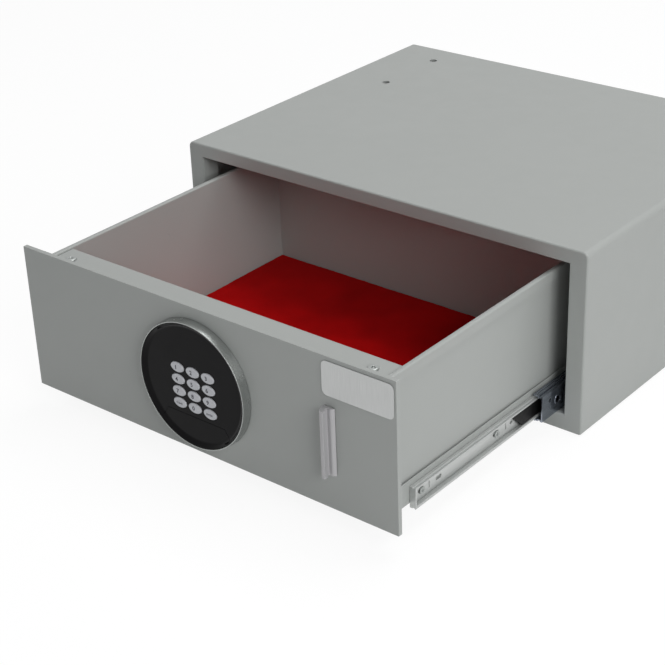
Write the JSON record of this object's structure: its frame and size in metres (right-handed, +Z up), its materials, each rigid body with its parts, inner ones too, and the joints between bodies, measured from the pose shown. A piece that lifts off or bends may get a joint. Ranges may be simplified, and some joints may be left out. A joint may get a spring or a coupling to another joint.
{
  "type": "under desk drawer safe",
  "caption": "Steel safe body with a lockable drawer on telescopic slides, a round keypad, a pull handle and a motor-driven bolt lock.",
  "frame": {"origin": "middle of the body's underside, on the surface that it stands on", "axes": "+Z up, +Y from the front frame to the back panel, +X to the right as seen from the front; the drawer opens along -Y"},
  "size_m": [0.4, 0.5362, 0.155],
  "materials": {
    "body_paint": "light grey semi-matt powder coat, fine orange peel",
    "zinc": "bright zinc-plated rolled steel",
    "steel": "plain turned or pressed steel, slightly dull",
    "satin_aluminium": "satin extruded aluminium",
    "satin_chrome": "satin chrome plating with a bright edge",
    "gloss_black": "high gloss black",
    "black_plastic": "matt black moulded",
    "key_silver": "silver-grey satin keys with dark numbers",
    "red_felt": "short deep red needle felt",
    "circuit_board": "green lacquered board",
    "grey_rubber": "matt grey silicone",
    "cell_wrap": "shrink film"
  },
  "bodies": {
    "cabinet": {"outer_shell": "body_paint", "back_panel": "body_paint", "slide_bracket_left": "zinc", "slide_bracket_right": "zinc", "cabinet_slide_left": "zinc", "cabinet_slide_right": "zinc"},
    "mid_member_left": {"mid_slide_left": "zinc"},
    "mid_member_right": {"mid_slide_right": "zinc"},
    "outer_cage_left": {"outer_ball_cage_left": "steel"},
    "outer_cage_right": {"outer_ball_cage_right": "steel"},
    "inner_cage_left": {"inner_ball_cage_left": "steel"},
    "inner_cage_right": {"inner_ball_cage_right": "steel"},
    "drawer": {"front_panel": "body_paint", "tray_body": "body_paint", "tray_outer_skin": "body_paint", "base_pan": "body_paint", "floor_lining": "red_felt", "drawer_slide_left": "zinc", "drawer_slide_right": "zinc", "release_lever_left": "black_plastic", "release_lever_right": "black_plastic", "slide_screw_left_1": "steel", "slide_screw_left_2": "steel", "slide_screw_right_1": "steel", "slide_screw_right_2": "steel", "lock_cover": "body_paint", "cover_screw_left": "steel", "cover_screw_right": "steel", "pull_handle": "satin_aluminium", "handle_screw_1": "steel", "handle_screw_2": "steel", "name_plate": "satin_aluminium", "keypad_bezel": "satin_chrome", "keypad_face": "gloss_black", "key_mat": "grey_rubber", "keypad_board": "circuit_board", "keypad_screw_1": "steel", "keypad_screw_2": "steel", "lock_chassis": "zinc", "gear_motor": "black_plastic", "lock_board": "circuit_board", "battery_holder": "black_plastic", "battery_pack": "cell_wrap"},
    "bolt_work": {"bolt_bar": "zinc", "locking_bolt_left": "steel", "locking_bolt_right": "steel"},
    "pinion": {"drive_pinion": "steel"},
    "key_button_1": {"key_1": "key_silver"},
    "key_button_2": {"key_2": "key_silver"},
    "key_button_3": {"key_3": "key_silver"},
    "key_button_4": {"key_4": "key_silver"},
    "key_button_5": {"key_5": "key_silver"},
    "key_button_6": {"key_6": "key_silver"},
    "key_button_7": {"key_7": "key_silver"},
    "key_button_8": {"key_8": "key_silver"},
    "key_button_9": {"key_9": "key_silver"},
    "key_button_10": {"key_10": "key_silver"},
    "key_button_11": {"key_11": "key_silver"},
    "key_button_12": {"key_12": "key_silver"}
  },
  "joints": [
    {"name": "drawer_slide", "type": "slide", "parent": "cabinet", "child": "drawer", "axis": [0, -1, 0], "range_m": [-0.207, 0.043]},
    {"name": "mid_slide_left", "type": "slide", "parent": "cabinet", "child": "mid_member_left", "axis": [0, -1, 0], "range_m": [-0.0518, 0.0108]},
    {"name": "mid_slide_right", "type": "slide", "parent": "cabinet", "child": "mid_member_right", "axis": [0, -1, 0], "range_m": [-0.0518, 0.0108]},
    {"name": "outer_cage_left", "type": "slide", "parent": "cabinet", "child": "outer_cage_left", "axis": [0, -1, 0], "range_m": [-0.0259, 0.0054]},
    {"name": "outer_cage_right", "type": "slide", "parent": "cabinet", "child": "outer_cage_right", "axis": [0, -1, 0], "range_m": [-0.0259, 0.0054]},
    {"name": "inner_cage_left", "type": "slide", "parent": "cabinet", "child": "inner_cage_left", "axis": [0, -1, 0], "range_m": [-0.1294, 0.0269]},
    {"name": "inner_cage_right", "type": "slide", "parent": "cabinet", "child": "inner_cage_right", "axis": [0, -1, 0], "range_m": [-0.1294, 0.0269]},
    {"name": "bolt_throw", "type": "slide", "parent": "drawer", "child": "bolt_work", "axis": [0, 0, -1], "range_m": [0, 0.014]},
    {"name": "pinion_spin", "type": "hinge", "parent": "drawer", "child": "pinion", "pos_m": [0.0072, -0.3556, 0.082], "axis": [0, -1, 0], "range_deg": [0, 111.5]},
    {"name": "press_key_1", "type": "slide", "parent": "drawer", "child": "key_button_1", "axis": [0, 1, 0], "range_m": [0, 0.0008], "stiffness_N_per_m": 600, "springref_m": -0.001},
    {"name": "press_key_2", "type": "slide", "parent": "drawer", "child": "key_button_2", "axis": [0, 1, 0], "range_m": [0, 0.0008], "stiffness_N_per_m": 600, "springref_m": -0.001},
    {"name": "press_key_3", "type": "slide", "parent": "drawer", "child": "key_button_3", "axis": [0, 1, 0], "range_m": [0, 0.0008], "stiffness_N_per_m": 600, "springref_m": -0.001},
    {"name": "press_key_4", "type": "slide", "parent": "drawer", "child": "key_button_4", "axis": [0, 1, 0], "range_m": [0, 0.0008], "stiffness_N_per_m": 600, "springref_m": -0.001},
    {"name": "press_key_5", "type": "slide", "parent": "drawer", "child": "key_button_5", "axis": [0, 1, 0], "range_m": [0, 0.0008], "stiffness_N_per_m": 600, "springref_m": -0.001},
    {"name": "press_key_6", "type": "slide", "parent": "drawer", "child": "key_button_6", "axis": [0, 1, 0], "range_m": [0, 0.0008], "stiffness_N_per_m": 600, "springref_m": -0.001},
    {"name": "press_key_7", "type": "slide", "parent": "drawer", "child": "key_button_7", "axis": [0, 1, 0], "range_m": [0, 0.0008], "stiffness_N_per_m": 600, "springref_m": -0.001},
    {"name": "press_key_8", "type": "slide", "parent": "drawer", "child": "key_button_8", "axis": [0, 1, 0], "range_m": [0, 0.0008], "stiffness_N_per_m": 600, "springref_m": -0.001},
    {"name": "press_key_9", "type": "slide", "parent": "drawer", "child": "key_button_9", "axis": [0, 1, 0], "range_m": [0, 0.0008], "stiffness_N_per_m": 600, "springref_m": -0.001},
    {"name": "press_key_10", "type": "slide", "parent": "drawer", "child": "key_button_10", "axis": [0, 1, 0], "range_m": [0, 0.0008], "stiffness_N_per_m": 600, "springref_m": -0.001},
    {"name": "press_key_11", "type": "slide", "parent": "drawer", "child": "key_button_11", "axis": [0, 1, 0], "range_m": [0, 0.0008], "stiffness_N_per_m": 600, "springref_m": -0.001},
    {"name": "press_key_12", "type": "slide", "parent": "drawer", "child": "key_button_12", "axis": [0, 1, 0], "range_m": [0, 0.0008], "stiffness_N_per_m": 600, "springref_m": -0.001}
  ],
  "couplings": [
    {"joint": "mid_slide_left", "follows": "drawer_slide", "ratio": 0.25},
    {"joint": "mid_slide_right", "follows": "drawer_slide", "ratio": 0.25},
    {"joint": "outer_cage_left", "follows": "drawer_slide", "ratio": 0.125},
    {"joint": "outer_cage_right", "follows": "drawer_slide", "ratio": 0.125},
    {"joint": "inner_cage_left", "follows": "drawer_slide", "ratio": 0.625},
    {"joint": "inner_cage_right", "follows": "drawer_slide", "ratio": 0.625},
    {"joint": "pinion_spin", "follows": "bolt_throw", "rad_per_m": 138.89}
  ]
}
